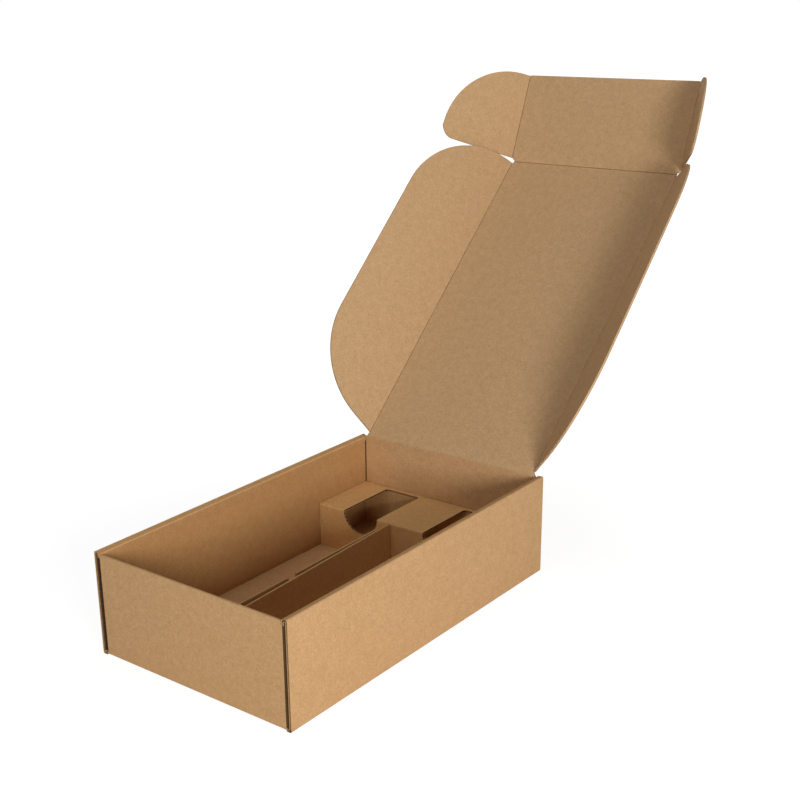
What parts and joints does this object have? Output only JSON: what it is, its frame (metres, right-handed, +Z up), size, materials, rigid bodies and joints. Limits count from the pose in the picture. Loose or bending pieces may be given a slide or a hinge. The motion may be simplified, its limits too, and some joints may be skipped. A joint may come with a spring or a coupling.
{
  "type": "wine gift box",
  "caption": "Open corrugated mailer box with roll-over side walls, hinged lid with side flaps, tuck and ears, and a loose insert of slotted platform and divider.",
  "frame": {"origin": "middle of the base's underside, which stands on the surface", "axes": "+X to the right along the front wall, +Y from the front wall to the hinge wall, +Z up"},
  "size_m": [0.3172, 0.6804, 0.4445],
  "materials": {
    "kraft_board": "matte kraft liner with fine fibres",
    "insert_board": "matte kraft liner with fine fibres",
    "board_edge": "raw cut edge with open flutes"
  },
  "bodies": {
    "tray": {"tray": "kraft_board", "slotted_platform": "insert_board", "middle_divider": "insert_board"},
    "lid": {"lid_panel": "kraft_board"},
    "lid_flap_left": {"lid_flap_left": "kraft_board"},
    "lid_flap_right": {"lid_flap_right": "kraft_board"},
    "tuck": {"tuck_panel": "kraft_board"},
    "tuck_ear_left": {"tuck_ear_left": "kraft_board"},
    "tuck_ear_right": {"tuck_ear_right": "kraft_board"}
  },
  "joints": [
    {"name": "lid_hinge", "type": "hinge", "parent": "tray", "child": "lid", "pos_m": [0, 0.185, 0.1], "axis": [-1, 0, 0], "range_deg": [-74, 42.4]},
    {"name": "left_flap_hinge", "type": "hinge", "parent": "lid", "child": "lid_flap_left", "pos_m": [-0.1002, 0.185, 0.1], "axis": [0, 0.7385, 0.6743], "range_deg": [-58.6, 31.4]},
    {"name": "right_flap_hinge", "type": "hinge", "parent": "lid", "child": "lid_flap_right", "pos_m": [0.1002, 0.185, 0.1], "axis": [0, -0.7385, -0.6743], "range_deg": [-51, 39]},
    {"name": "tuck_hinge", "type": "hinge", "parent": "lid", "child": "tuck", "pos_m": [0, 0.45646, 0.34787], "axis": [1, 0, 0], "range_deg": [-25.8, 4]},
    {"name": "left_ear_hinge", "type": "hinge", "parent": "tuck", "child": "tuck_ear_left", "pos_m": [-0.1024, 0.45646, 0.34787], "axis": [0, 0.3714, 0.9285], "range_deg": [-52.2, 7]},
    {"name": "right_ear_hinge", "type": "hinge", "parent": "tuck", "child": "tuck_ear_right", "pos_m": [0.1024, 0.45646, 0.34787], "axis": [0, -0.3714, -0.9285], "range_deg": [-60.3, 29.7]}
  ]
}
